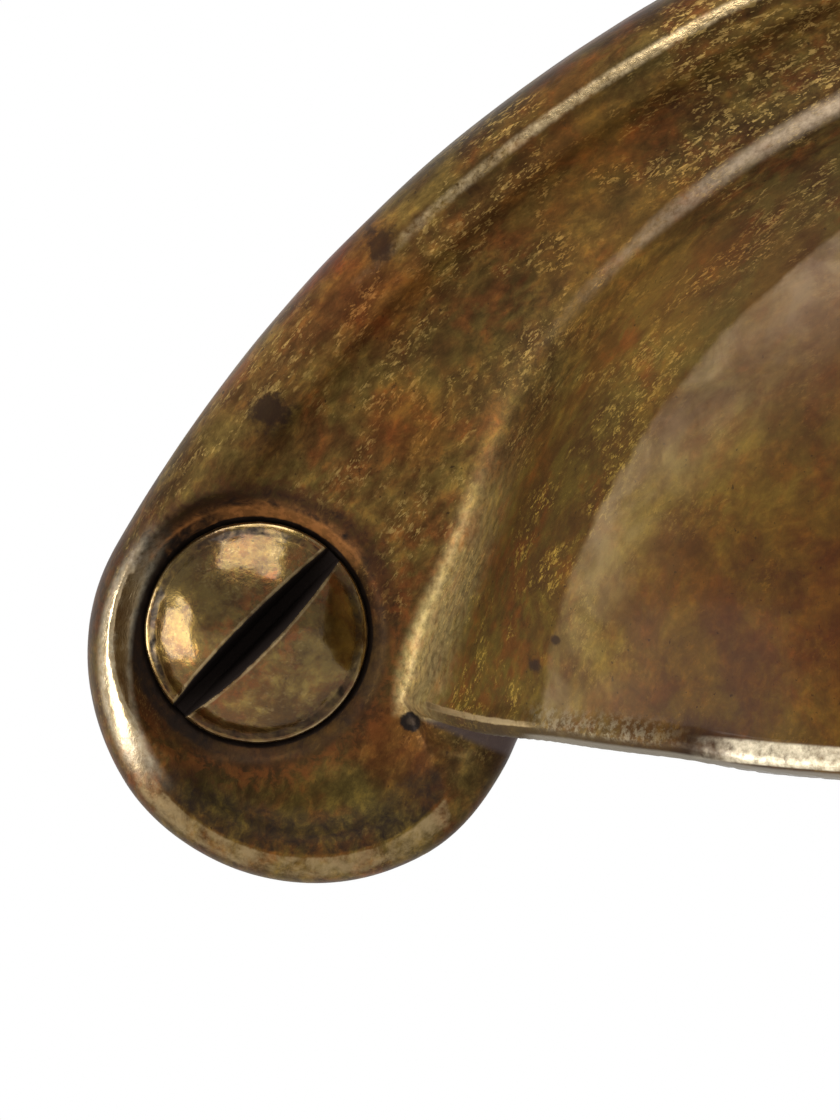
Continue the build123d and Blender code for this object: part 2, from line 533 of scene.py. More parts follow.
def screwDistanceGroup():
    tree, source, sink = newTree(
        "screwDistance", "GeometryNodeTree", {"Place": None, **screwSizes},
        dict.fromkeys(("Distance", "headGap", "slotGap"), "Float"),
    )
    s = terms(tree, source, screwSizes)
    x, y, z = split(tree, source.outputs["Place"])
    x = x - s["centreX"]
    h = -y
    across = size2(x, z)
    # raised head: dome, bevelled ring, upright edge and countersunk underside; the factors below 1
    # here and in the slot keep a sloping face's distance true
    foot = s["headRadius"] - s["ringWidth"]
    domeBall = (foot * foot + s["domeRise"] * s["domeRise"]) / (2 * s["domeRise"])
    domeFoot = s["headEdge"] + s["edgeHeight"] + s["ringRise"]
    dome = size2(across, h - (domeFoot + s["domeRise"] - domeBall)) - domeBall
    ring = (h - domeFoot + (across - foot) * (s["ringRise"] / s["ringWidth"])) * 0.95
    head = softLeast(dome, ring, screwBlends["ring"])
    head = softMost(head, across - s["headRadius"], screwBlends["brim"])
    cone = (across - s["headRadius"] + (s["headEdge"] - h) * s["coneSlope"]) * 0.755
    head = softMost(head, cone, screwBlends["underside"])
    # shank, tapering thread and point
    behind = y
    taper = step(behind, s["threadEnd"] - s["pointLength"], s["threadEnd"]) * 0.97
    full = 1 - taper
    turn = z.math("ARCTAN2", x) / (2 * math.pi)
    phase = (behind / s["pitch"] + turn).math("FRACT")
    ridge = 1 - (phase * 2 - 1).math("ABSOLUTE")
    ridge = most((ridge - 0.5) * 2.0, 0.0)
    ridge = ridge * step(behind, s["plainShank"], s["plainShank"] + s["threadStart"])
    core = s["coreRadius"] + (s["shankRadius"] - s["coreRadius"]) * ridge
    threaded = across - core * full
    shank = choose(behind.math("LESS_THAN", s["plainShank"]), across - s["shankRadius"], threaded)
    shank = softMost(shank, behind - s["threadEnd"] + 0.05, screwBlends["point"])
    shank = most(shank * 0.9, h)
    body = softLeast(head, shank, screwBlends["neck"])
    # the slot, worn round along its edges
    angle = s["slotTurn"] * (math.pi / 180)
    crosswise = z * angle.math("COSINE") - x * angle.math("SINE")
    half = s["slotHalf"] + (h - s["slotFloor"]) * s["slotFlare"]
    slot = (crosswise.math("ABSOLUTE") - half) * 0.94
    slot = softMost(slot, s["slotFloor"] - h, screwBlends["slotFloor"])
    body = softMost(body, -slot, s["slotWear"])
    plugAll(tree, sink, {"Distance": body, "headGap": s["headRadius"] - across, "slotGap": slot})
    return tree


screwGrid = {
    "halfWidth": 3.95,
    "front": 3.9,
    "depth": 23.3,
    "cellsAcross": 100,
    "cellsDeep": 150,
    "finerFront": 0.58,
    "dentDepth": 0.10,
    "dentSize": 0.7,
    "seed": 1.0,
}


def screwPlace(centreX):
    def place(tree, vector):
        gx, gy, gz = split(tree, vector)
        x = gx * screwGrid["halfWidth"] + centreX
        front = screwGrid["finerFront"]
        y = (gy * (1 - front) + gy * gy * front) * screwGrid["depth"] - screwGrid["front"]
        return join(tree, x, y, gz * screwGrid["halfWidth"])
    return place


def mixColour(tree, amount, first, second, kind="MIX"):
    first, second = ((*tint, 1.0) if isinstance(tint, tuple) else tint for tint in (first, second))
    node = addNode(tree, "ShaderNodeMix", {0: amount, 6: first, 7: second},
                   data_type="RGBA", blend_type=kind, clamp_factor=True)
    return node.outputs[2]


def times(tree, amount, colour, tint):  # darkens or brightens a colour by a tint
    return mixColour(tree, amount, colour, tint, "MULTIPLY")


def patinaGroup():
    # mottled tarnish: olive and umber clouds, red-brown patches, golden flecks drawn along the form
    tree, source, sink = newTree(
        "mottledPatina", "ShaderNodeTree",
        {"Place": None, "Along": None, "Seed": 0.0, "Cloud size": 0.2, "Red": 0.5, "Flecks": 0.5,
         "Grain": 1.0,
         "Olive colour": (0.115, 0.075, 0.019, 1), "Umber colour": (0.075, 0.036, 0.010, 1),
         "Red colour": (0.135, 0.045, 0.012, 1), "Gold colour": (0.44, 0.29, 0.09, 1),
         "Speck colour": (0.022, 0.012, 0.005, 1)},
        {"Colour": "Color", "Fleck": "Float", "Cloud": "Float", "Height": "Float"},
    )
    place, along = source.outputs["Place"], source.outputs["Along"]
    seed = term(tree, source.outputs["Seed"])
    size = term(tree, source.outputs["Cloud size"])
    amount = term(tree, source.outputs["Grain"])
    cloud = noise(tree, place, size, 5.0, 0.62, 0.9, seed)
    mottle = noise(tree, along, size * 4.5, 4.0, 0.68, 0.5, seed + 2.2)
    tone = cloud * 0.55 + mottle * 0.45
    colour = mixColour(tree, step(tone, 0.42, 0.58), source.outputs["Umber colour"],
                       source.outputs["Olive colour"])
    reds = noise(tree, place, size * 1.7, 4.0, 0.6, 0.8, seed + 3.1)
    fineReds = noise(tree, along, size * 9, 3.0, 0.65, 0.4, seed + 5.7)
    redness = step(reds, 0.48, 0.62) * step(fineReds, 0.36, 0.62)
    redness = redness * term(tree, source.outputs["Red"])
    colour = mixColour(tree, redness, colour, source.outputs["Red colour"])
    # fine grain, darker and then brighter, and broad shades
    grain = noise(tree, along, 2.4, 4.0, 0.72, 0.3, seed + 1.3)
    broad = noise(tree, place, size * 0.45, 2.0, 0.5, 0.3, seed + 15.1)
    for share, pattern, low, high, dark, bright in (
        (amount * 0.7, grain, 0.32, 0.6, (0.30, 0.26, 0.22), (1.0, 1.0, 1.0)),
        (amount * 0.6, grain, 0.5, 0.72, (1.0, 1.0, 1.0), (2.1, 1.95, 1.5)),
        (0.9, broad, 0.36, 0.64, (0.60, 0.58, 0.58), (1.24, 1.22, 1.14)),
    ):
        colour = times(tree, share, colour, mixColour(tree, step(pattern, low, high), dark, bright))
    # flecks: short bright strokes, thick in some clumps and absent in others
    alongX, alongY, alongZ = split(tree, along)
    drawn = join(tree, alongX * 0.7, alongY, alongZ)
    strokes = (noise(tree, drawn, 3.1, 3.0, 0.7, 0.4, seed + 9.2) - 0.5).math("ABSOLUTE")
    grains = noise(tree, drawn, 8.0, 2.0, 0.6, 0.2, seed + 18.3)
    broken = noise(tree, drawn, 8.5, 2.0, 0.6, 0.3, seed + 4.4)
    clumps = noise(tree, along, size * 2.1, 5.0, 0.7, 0.4, seed + 7.7)
    fleck = step(strokes, 0.044, 0.006) * step(broken, 0.50, 0.58) * 0.8
    fleck = most(fleck, step(grains, 0.56, 0.61) * 0.85) * step(clumps, 0.485, 0.61)
    fleck = fleck * (0.45 + step(broken, 0.5, 0.62) * 0.55)
    fleck = fleck * term(tree, source.outputs["Flecks"])
    colour = mixColour(tree, fleck, colour, source.outputs["Gold colour"])
    specks = step(noise(tree, place, 4.5, 2.0, 0.6, 0.0, seed + 12.4), 0.66, 0.74)
    colour = mixColour(tree, specks * 0.75, colour, source.outputs["Speck colour"])
    plugAll(tree, sink, {"Colour": colour, "Fleck": fleck, "Cloud": cloud, "Height": grain})
    return tree


wearInputs = {"Place": None, "Colour": (0.1, 0.06, 0.02, 1), "Roughness": 0.5}
wearOutputs = {"Colour": "Color", "Roughness": "Float", "Mask": "Float"}


def rubbedAndSheenGroup():
    # edges that fingers and cloths have polished back towards pale brass; the same pale brass also
    # paints highlights on crests and edges
    tree, source, sink = newTree(
        "rubbedEdgeAndSheen", "ShaderNodeTree",
        {**wearInputs, "Rub": 0.0, "Bare colour": (0.38, 0.27, 0.13, 1)}, wearOutputs,
    )
    rub = term(tree, source.outputs["Rub"])
    patches = noise(tree, source.outputs["Place"], 1.5, 4.0, 0.68, 0.3)
    mask = step(patches + rub * 0.5, 0.60, 0.96) * rub
    colour = mixColour(tree, mask, source.outputs["Colour"], source.outputs["Bare colour"])
    roughness = term(tree, source.outputs["Roughness"]) * (1 - mask * 0.5)
    plugAll(tree, sink, {"Colour": colour, "Roughness": roughness, "Mask": mask})
    return tree


def grimeAndShadeGroup():
    # dark dirt and old lacquer in hollows, with a rusty fringe; also used for painted shade in the
    # gaps round the screw heads
    tree, source, sink = newTree(
        "hollowGrimeAndShade", "ShaderNodeTree",
        {**wearInputs, "Depth": 0.0, "Fringe": 0.0, "Dirt and shade colour": (0.016, 0.010, 0.007, 1),
         "Rust colour": (0.22, 0.065, 0.014, 1)},
        wearOutputs,
    )
    depth = term(tree, source.outputs["Depth"])
    ragged = noise(tree, source.outputs["Place"], 2.1, 4.0, 0.65, 0.5)
    fringe = step(ragged, 0.42, 0.62) * term(tree, source.outputs["Fringe"])
    colour = mixColour(tree, fringe, source.outputs["Colour"], source.outputs["Rust colour"])
    mask = step(depth + (ragged - 0.5) * 0.9, 0.25, 0.8) * step(depth, 0.0, 0.15)
    colour = mixColour(tree, mask, colour, source.outputs["Dirt and shade colour"])
    roughness = term(tree, source.outputs["Roughness"]) + mask * 0.15
    plugAll(tree, sink, {"Colour": colour, "Roughness": roughness, "Mask": mask})
    return tree


patina = patinaGroup()
rubbedAndSheen = rubbedAndSheenGroup()
grimeAndShade = grimeAndShadeGroup()


def newMaterial(name):
    material = bpy.data.materials.new(name)
    material.use_nodes = True
    tree = material.node_tree
    shader = tree.nodes["Principled BSDF"]
    coordinates = tree.nodes.new("ShaderNodeTexCoord")
    place = scaleVector(tree, coordinates.outputs["Object"], 1 / millimetre)
    return material, tree, shader, place


def attribute(tree, name):
    node = addNode(tree, "ShaderNodeAttribute", attribute_name=name)
    return term(tree, node.outputs["Fac"])


def addRelief(tree, shader, height, finish):
    bump = addNode(tree, "ShaderNodeBump", {
        "Strength": finish["bump"], "Distance": finish["bumpDepth"] * millimetre, "Height": height,
    })
    plug(tree, bump.outputs[0], shader.inputs["Normal"])


def alongArch(tree, place, stretch):
    # arc length round the arch's centre, drawn out, and the distance from that centre
    x, y, z = split(tree, place)
    z = z - pullSizes["archZ"]
    arc = x.math("ARCTAN2", z) * (pullSizes["archRadius"] * stretch)
    return join(tree, arc, size2(x, z), y)


brassFinish = {
    "metallic": 0.6,
    "roughness": 0.5,
    "specular": 0.12,
    "coatRoughness": 0.16,
    "hazeCoat": 0.04,
    "hazeTilt": 47.3,
    "upwardHaze": 0.33,
    "archStretch": 0.5,
    "bump": 0.35,
    "bumpDepth": 0.08,
    "pitX": 32.88,
    "pitZ": -2.92,
    "pitRadius": 0.36,
    "coveHalfWidth": 32.86,
    "coveRise": 25.35,
    "coveZ": -2.81,
}
# a mark's band, in mm of the distance that it follows: starts, full, still full, ends
brassBands = {
    # seatEdge, seatInner and seatOuter place painted shade in the gap round the screw heads
    "seatEdge": (-0.6, -0.3, 0.02, 0.2),
    "seatInner": (-0.3, 0.0, 0.5, 1.1),
    "seatOuter": (-0.1, 0.05, 0.36, 0.66),
    "overHeadRustAndLight": (-0.1, 0.1, 0.5, 0.9),
    "aboveHead": (0.3, 0.6, 0.9, 2.6),
    "seatFringe": (0.5, 0.9, 1.1, 2.0),
    "dish": (1.0, 1.2, 1.9, 3.4),
    "basin": (1.0, 1.8, 3.2, 4.2),
    "rimRoll": (0.1, 0.4, 0.8, 1.0),
    "rimHollow": (1.6, 2.0, 2.6, 4.6),
    "rimCrest": (0.95, 1.16, 1.24, 1.48),
    "rimSmooth": (0.6, 1.0, 1.6, 2.2),
    "rimBottom": (0.1, 0.5, 1.0, 1.15),
    "rimLeft": (0.35, 0.75, 1.3, 1.65),
    "lip": (-2.8, -2.74, -1.5, -1.36),
    "lipCreamHighlight": (-2.28, -2.2, -1.56, -1.42),
    "ridge": (-2.16, -2.06, -1.94, -1.84),
    "ridgeAcross": (27.4, 29.2, 32.3, 32.9),
    "crust": (-2.05, -1.8, -1.6, -0.9),
    "crustAcross": (22.4, 25.5, 27.6, 28.9),
}
# colours of the marks; those named "times" multiply what is there
brassTints = {
    # painted reflection and painted shade on the cup's front
    "hazeAndSheen": (0.42, 0.305, 0.205),
    "facingShadeTimes": (0.57, 0.45, 0.35),
    "warmTimes": (0.98, 0.94, 0.54),
    "blotchDarkTimes": (0.86, 0.80, 0.78),
    "blotchPaleTimes": (1.16, 1.18, 1.14),
    "seat": (0.050, 0.026, 0.012),
    "seatTimes": (0.60, 0.46, 0.40),
    # rust-orange, partly painted light on the seat's upper side
    "overHeadRustAndLight": (0.31, 0.125, 0.036),
    "basinTimes": (0.70, 0.74, 0.66),
    "rimTimes": (1.48, 1.45, 1.4),
    # painted highlights on the rim's crest and the ear's outer side
    "crest": (0.60, 0.46, 0.26),
    "left": (0.62, 0.53, 0.37),
    # the lip's painted shade on its face, painted reflection under it and painted highlight on top
    "lipFaceShade": (0.050, 0.032, 0.015),
    "lipUnderReflection": (0.25, 0.22, 0.17),
    "lipCreamHighlight": (0.78, 0.67, 0.47),
    "crust": (0.30, 0.25, 0.16),
    "land": (0.085, 0.060, 0.055),
    # painted highlights on the toe and over its hollow curve
    "toe": (0.44, 0.35, 0.16),
    "toeHighlightTimes": (3.1, 3.2, 2.8),
    "cove": (0.64, 0.49, 0.33),
    "spot": (0.022, 0.011, 0.006),
    # painted shade of the casting pit
    "pitShadeMiddle": (0.012, 0.008, 0.006),
    "pitShadeEdge": (0.035, 0.023, 0.015),
}
# dark spots on the face: x, z, radius in mm and strength
darkSpots = (
    (-37.55, 7.6, 0.66, 1.0),
    (-33.85, 13.2, 0.6, 0.9),
    (-27.6, 1.0, 0.14, 0.9),
    (-28.3, 0.05, 0.2, 0.9),
    (-24.0, 17.9, 0.25, 0.5),
    (30.2, 16.2, 0.5, 0.9),
    (38.6, 9.4, 0.3, 0.8),
    (6.0, 24.6, 0.4, 0.7),
)
# broad stains: x, z, radius in mm, colour and strength
stains = (
    (-30.9, 8.4, 3.2, (0.165, 0.132, 0.046), 0.4),
    (-34.6, 12.2, 2.9, (0.090, 0.030, 0.010), 0.75),
    (-33.2, 7.0, 1.9, (0.150, 0.062, 0.018), 0.55),
    (-33.2, -3.8, 1.8, (0.170, 0.060, 0.014), 0.6),
    (-37.0, -6.3, 2.2, (0.110, 0.078, 0.022), 0.5),
    (-25.6, 12.8, 4.2, (0.190, 0.122, 0.036), 0.6),
    (-27.0, 17.0, 3.0, (0.170, 0.105, 0.030), 0.6),
    (-19.5, 12.0, 3.6, (0.110, 0.046, 0.018), 0.5),
    (-17.5, 3.0, 3.6, (0.120, 0.048, 0.014), 0.6),
    (-22.6, -1.9, 0.9, (0.030, 0.018, 0.010), 0.9),
    (-23.0, 2.5, 3.2, (0.105, 0.060, 0.018), 0.5),
    (31.5, 10.0, 4.0, (0.190, 0.150, 0.052), 0.6),
    (35.6, 13.0, 2.6, (0.100, 0.034, 0.011), 0.7),
    (24.0, 15.5, 4.4, (0.180, 0.118, 0.035), 0.6),
    (12.0, 22.0, 4.0, (0.110, 0.045, 0.014), 0.6),
    (-4.0, 24.0, 4.5, (0.180, 0.130, 0.042), 0.6),
    (9.0, 5.0, 6.0, (0.105, 0.050, 0.016), 0.5),
    (33.4, -4.6, 1.8, (0.160, 0.056, 0.014), 0.5),
)
stainBrightness = 9  # what a stain's colour is raised by where it multiplies


def brassPlaces(tree, place):
    # what the marks are placed by: position, distances, two random fields and two masks
    x, y, z = split(tree, place)
    inset, egg, ringGap = (attribute(tree, name) for name in ("edgeInset", "cupGap", "screwGap"))
    wander = noise(tree, place, 0.5, 4.0, 0.65) - 0.5
    fine = noise(tree, place, 3.4, 3.0, 0.7) - 0.5
    outside = step(egg, -0.9, -0.5) * step(y, -0.5, -1.2)  # neither the cup's hollow nor the back
    return SimpleNamespace(
        place=place, x=x, y=y, z=z, u=x.math("ABSOLUTE"), inset=inset, egg=egg, ringGap=ringGap,
        wander=wander, fine=fine, outside=outside,
        onCup=step(egg, 0.3, 0.1) * step(y, -4.0, -6.0) * outside,
    )


def cupFacing(at):
    # how far the egg faces forward here, with a little added where it faces up
    lean = [
        value / pullSizes[size] ** 2
        for value, size in ((at.x, "cupHalfWidth"), (at.y, "cupDepth"),
                            (at.z - pullSizes["lipZ"], "cupRise"))
    ]
    length = size3(*lean)
    upward = most(lean[2], 0.0) / length
    return upward * upward * upward * brassFinish["upwardHaze"] - lean[1] / length


def addStains(tree, at, colour):
    for stainX, stainZ, radius, tint, strength in stains:
        gap = size2(at.x - stainX, at.z - stainZ) + at.wander * (radius * 1.9)
        stain = step(gap, radius * 1.2, radius * 0.25) * strength
        half = mixColour(tree, 0.5, colour, tint)
        raised = times(tree, 1.0, colour, tuple(part * stainBrightness for part in tint))
        colour = mixColour(tree, stain, colour, mixColour(tree, 0.55, half, raised))
    return colour


def addHazeAndReflection(tree, at, colour, facing, tilt):
    # old lacquer over the cup's front; its pale veil is a painted reflection that ends in a clear
    # tide line where the surface turns away, and the part facing straight out gets painted shade
    edgeFacing = facing + (noise(tree, at.place, 0.8, 4.0, 0.6) - 0.5) * 0.024
    hazeAndSheen = step(edgeFacing, tilt - 0.005, tilt + 0.005) * at.onCup
    edge = bandOf(edgeFacing, tilt - 0.005, tilt + 0.008, tilt + 0.012, tilt + 0.15) * at.onCup
    cloudy = step(noise(tree, at.place, 0.35, 4.0, 0.6, 0.6), 0.35, 0.65)
    paintedReflection = edge * (0.07 + cloudy * 0.19) + hazeAndSheen * step(at.z, 4.0, 14.0) * 0.07
    colour = mixColour(tree, paintedReflection, colour, brassTints["hazeAndSheen"])
    facingShade = step(facing, tilt + 0.02, tilt + 0.22) * at.onCup
    colour = times(tree, facingShade * 0.9, colour, brassTints["facingShadeTimes"])
    warm = at.onCup * step(at.z, 14.0, 5.0) * (1 - edge * 0.6)
    colour = times(tree, warm, colour, brassTints["warmTimes"])
    blotch = step(noise(tree, at.place, 0.42, 4.0, 0.6, 0.8), 0.38, 0.62)
    blotched = times(tree, 1.0, colour, mixColour(
        tree, blotch, brassTints["blotchDarkTimes"], brassTints["blotchPaleTimes"]))
    return hazeAndSheen, mixColour(tree, hazeAndSheen, colour, blotched)


def addDirtAndShade(tree, at, colour):
    # dirt round the screw heads, painted shade in the gap round each head, deeper on its inner and
    # outer sides, a darker band above the head, rust-orange partly painted as light on the seat's
    # upper side, and dirt in the ear's dish
    darker = times(tree, 1.0, colour, brassTints["seatTimes"])
    seat = mixColour(tree, 0.35, darker, brassTints["seat"])
    colour = mixColour(tree, step(at.ringGap + at.wander * 0.8, 1.5, 0.7) * 0.9, colour, seat)
    # partly a rust-orange tint, partly painted light on the seat's upper side over the head
    overHeadRustAndLight = bandOf(at.ringGap, *brassBands["overHeadRustAndLight"]) * step(at.z + at.wander * 3, 1.8, 3.2)
    rusty = step(noise(tree, at.place, 2.4, 4.0, 0.65), 0.42, 0.58)
    colour = mixColour(tree, overHeadRustAndLight * (0.5 + rusty * 0.45), colour, brassTints["overHeadRustAndLight"])
    # painted shade in the gap round the head, deeper on its inner and outer sides
    innerShade = bandOf(at.ringGap, *brassBands["seatInner"]) * step(at.z * 0.7 + at.u, 37.0, 35.0)
    outerShade = bandOf(at.ringGap, *brassBands["seatOuter"]) * step(at.u, 38.0, 40.2)
    ring = most(bandOf(at.ringGap, *brassBands["seatEdge"]), innerShade * 0.42)
    ring = most(ring, outerShade * 0.7)
    above = bandOf(at.ringGap, *brassBands["aboveHead"]) * step(at.z, -1.0, 3.0) * 0.55
    dish = bandOf(at.inset, *brassBands["dish"]) * step(at.z, -3.2, -5.0) * 0.55 * at.outside
    basin = bandOf(at.inset, *brassBands["basin"]) * step(at.z, -3.6, -5.2) * at.outside
    colour = times(tree, basin, colour, brassTints["basinTimes"])
    return useGroup(tree, grimeAndShade, Place=at.place, Colour=colour, Roughness=brassFinish["roughness"],
                    Depth=most(most(ring, above), dish),
                    Fringe=bandOf(at.ringGap, *brassBands["seatFringe"]) * 0.35)


def addRim(tree, at, colour):
    # the rim is paler on both sides of its crest; its crest is rubbed and gets a painted highlight
    # line near the top, its bottom is rubbed pale, which also paints a reflection there, and its
    # outer side at the ear is rubbed and gets a painted highlight crescent
    roll, hollow = (bandOf(at.inset, *brassBands[name]) for name in ("rimRoll", "rimHollow"))
    pale = most(roll, hollow) * step(at.z, 5.0, 12.0) * at.outside
    colour = times(tree, pale, colour, brassTints["rimTimes"])
    crest = bandOf(at.inset, *brassBands["rimCrest"]) * at.outside
    crest = crest * step(at.z + at.wander * 6, 11.5, 20.5)
    bottomRubAndReflection = bandOf(at.inset, *brassBands["rimBottom"]) * step(at.z, -3.0, -5.0) * 0.6
    left = bandOf(at.inset, *brassBands["rimLeft"]) * step(at.u, 39.8, 41.8) * at.outside
    left = left * step(at.z, 4.2, 0.5) * step(at.z, -5.6, -2.6)
    # painted highlight line along the crest, over its rubbing
    colour = mixColour(tree, crest * (0.5 + at.fine * 3), colour, brassTints["crest"])
    return most(crest * 0.8, bottomRubAndReflection * at.outside), left, colour


def addLip(tree, at, colour, left):
    # the lip's dark face is painted shade, its cream top a painted highlight and its greyish
    # underside a painted reflection; its ridge is rubbed pale, which also paints its highlight
    # line, and it has a crust
    swayed = step(at.u, *pullSpans["swayOut"]) * step(at.u, *pullSpans["swayIn"])
    level = at.z - swayed * pullSizes["lipSway"]  # height along the lip
    nearLip = step(at.egg, 0.7, 0.4)
    onLip = at.outside * bandOf(level, *brassBands["lip"]) * nearLip * step(at.y, -3.5, -5.0)
    shiny = onLip * step(at.u + at.wander * 3, 22.8, 21.0)
    # painted shade on the lip's face, which faces down
    faceShade = onLip * step(level, -2.04, -2.12) * step(at.u, 22.0, 26.0)
    colour = mixColour(tree, faceShade * 0.6, colour, brassTints["lipFaceShade"])
    # painted reflection of the pale surroundings on the lip's underside
    underReflection = onLip * step(level, -2.28, -2.4) * step(at.u, 28.9, 28.2)
    colour = mixColour(tree, underReflection * 0.75, colour, brassTints["lipUnderReflection"])
    # the ridge is rubbed pale, which also paints its highlight line
    ridge = bandOf(level, *brassBands["ridge"]) * onLip * bandOf(at.u, *brassBands["ridgeAcross"])
    crust = bandOf(at.z, *brassBands["crust"]) * bandOf(at.u, *brassBands["crustAcross"]) * nearLip
    crust = crust * at.outside * step(noise(tree, at.place, 4.0, 4.0, 0.75), 0.44, 0.62)
    colour = mixColour(tree, crust * 0.42, colour, brassTints["crust"])
    # painted highlight crescent on the ear's outer rim, which is also rubbed
    colour = mixColour(tree, left * (0.65 + at.fine * 2), colour, brassTints["left"])
    # painted highlight along the lip's top
    creamHighlight = shiny * bandOf(at.z, *brassBands["lipCreamHighlight"]) * (0.62 + at.fine * 2)
    return shiny, ridge, mixColour(tree, creamHighlight, colour, brassTints["lipCreamHighlight"])


def addToe(tree, at, colour):
    # the land under the lip is smooth, greyish and a little purple; the toe beside it is rubbed and
    # brightened with a painted highlight
    landLine = (at.u - pullSizes["earX"]) * pullSizes["landSlope"] + pullSizes["landZ"]
    land = step(at.z - landLine, -0.25, 0.05) * step(at.u, 33.4, 32.6)
    land = land * step(at.z, -2.6, -2.8) * step(at.y, -4.6, -3.8)
    colour = mixColour(tree, land * 0.8, colour, brassTints["land"])
    # painted highlight: the toe is brightened where it faces the left light, over its rubbing
    toe = at.outside * step(at.y, -6.5, -3.2) * step(at.egg, 0.85, 0.35)
    toe = toe * step(at.z, 8.0, -0.5) * step(at.z, -2.9, -2.6)
    raised = times(tree, 1.0, colour, brassTints["toeHighlightTimes"])
    toeRubAndHighlight = mixColour(tree, 0.55, raised, brassTints["toe"])
    colour = mixColour(tree, toe * (0.75 + at.fine * 2.5), colour, toeRubAndHighlight)
    # the toe's hollow curve is polished along one line over the top of the cup, and a painted
    # highlight brightens that line where it catches the top light
    oval = size2(at.x / brassFinish["coveHalfWidth"],
                 (at.z - brassFinish["coveZ"]) / brassFinish["coveRise"])
    offLine = (oval - 1).math("ABSOLUTE") + at.wander * 0.01
    cove = step(offLine, 0.012 + step(at.z, 12.0, 21.0) * 0.007, 0.0) * step(at.z, 9.0, 21.0)
    cove = cove * step(at.y, -9.0, -6.0) * at.outside
    polishAndHighlight = cove * (0.7 + at.wander * 1.2 + at.fine * 1.6)
    return toe, cove, mixColour(tree, polishAndHighlight, colour, brassTints["cove"])


def addSpots(tree, at, colour):
    # dark spots, and the casting pit where toe, lip and land meet, whose dark ring and darker
    # middle are painted shade of a hole the mesh does not have
    ragged = noise(tree, at.place, 1.9, 4.0, 0.7) - 0.5
    spots = number(tree, 0.0)
    for spotX, spotZ, radius, strength in darkSpots:
        gap = size2(at.x - spotX, at.z - spotZ) + (at.wander * 1.4 + ragged * 2.6) * radius
        spots = most(spots, step(gap, radius * 1.4, radius * 0.55) * strength)
    colour = mixColour(tree, spots * at.outside * 0.92, colour, brassTints["spot"])
    pit = size2(at.u - brassFinish["pitX"], at.z - brassFinish["pitZ"]) + ragged * 0.35
    pit = pit / brassFinish["pitRadius"]
    pitShade = mixColour(tree, step(pit, 0.5, 0.2), brassTints["pitShadeMiddle"], brassTints["pitShadeEdge"])
    return mixColour(tree, step(pit, 1.15, 0.8), colour, pitShade)


def agedBrass():
    material, tree, shader, place = newMaterial("agedBrass")
    at = brassPlaces(tree, place)
    facing = cupFacing(at)
    tilt = math.cos(math.radians(brassFinish["hazeTilt"]))
    front = step(facing, tilt - 0.04, tilt + 0.04) * at.onCup
    inDish = step(at.z, -1.5, -4.0) * step(at.y, -4.5, -4.0)
    base = useGroup(
        tree, patina, Place=place, Along=alongArch(tree, place, brassFinish["archStretch"]),
        Grain=1 - at.onCup * 0.5, Flecks=0.72 - most(front * 0.5, inDish * 0.5),
        Red=0.75 - front * 0.35,
    )
    colour = addStains(tree, at, base.outputs["Colour"])
    hazeAndSheen, colour = addHazeAndReflection(tree, at, colour, facing, tilt)
    dirty = addDirtAndShade(tree, at, colour)
    rim, left, colour = addRim(tree, at, dirty.outputs["Colour"])
    shiny, ridge, colour = addLip(tree, at, colour, left)
    toe, cove, colour = addToe(tree, at, colour)
    smoothRim = bandOf(at.inset, *brassBands["rimSmooth"]) * step(at.z, 10.0, 18.0)
    smoothed = most(cove * 0.10, most(shiny * 0.2, left * 0.22)) + smoothRim * 0.18
    wornAndSheen = useGroup(tree, rubbedAndSheen, Place=place, Colour=colour,
                    Rub=most(most(rim, left * 0.85), most(ridge * 0.9, toe * 0.35)),
                    Roughness=term(tree, dirty.outputs["Roughness"]) - smoothed)
    mask = term(tree, wornAndSheen.outputs["Mask"])
    coat = hazeAndSheen * brassFinish["hazeCoat"] + mask * 0.2 + most(left, shiny) * 0.4
    cloud = term(tree, base.outputs["Cloud"]) - 0.5
    roughness = term(tree, wornAndSheen.outputs["Roughness"]) + cloud * 0.25 + at.onCup * 0.12
    shine = mask * 0.4 + term(tree, base.outputs["Fleck"]) * 0.3 - at.onCup * 0.2
    plugAll(tree, shader, {
        "Base Color": addSpots(tree, at, wornAndSheen.outputs["Colour"]),
        "Metallic": brassFinish["metallic"] + shine,
        "Roughness": roughness,
        "Specular IOR Level": brassFinish["specular"],
        "Coat Weight": coat,
        "Coat Roughness": brassFinish["coatRoughness"],
    })
    addRelief(tree, shader, base.outputs["Height"], brassFinish)
    return material


screwFinish = {
    "metallic": 0.92,
    "roughness": 0.19,
    "coatWeight": 0.36,
    "coatRoughness": 0.09,
    "bump": 0.25,
    "bumpDepth": 0.05,
    "dirt": (0.016, 0.011, 0.009, 1),
    "patina": {
        "Seed": 20.0,
        "Cloud size": 0.42,
        "Red": 0.5,
        "Flecks": 0.25,
        "Grain": 0.4,
        "Olive colour": (0.215, 0.142, 0.036, 1),
        "Umber colour": (0.105, 0.052, 0.012, 1),
        "Gold colour": (0.42, 0.30, 0.13, 1),
    },
}
# bands in mm, from the head's outline or from the slot's wall
screwBands = {
    "rimDirt": (-1.0, -0.5, 0.0, 0.06),
    "ringDirt": (0.1, 0.2, 0.36, 0.55),
    "slotFringe": (0.1, 0.2, 0.4, 1.0),
    "slotEdge": (0.02, 0.08, 0.14, 0.24),
    "brim": (-0.05, 0.02, 0.09, 0.16),
}


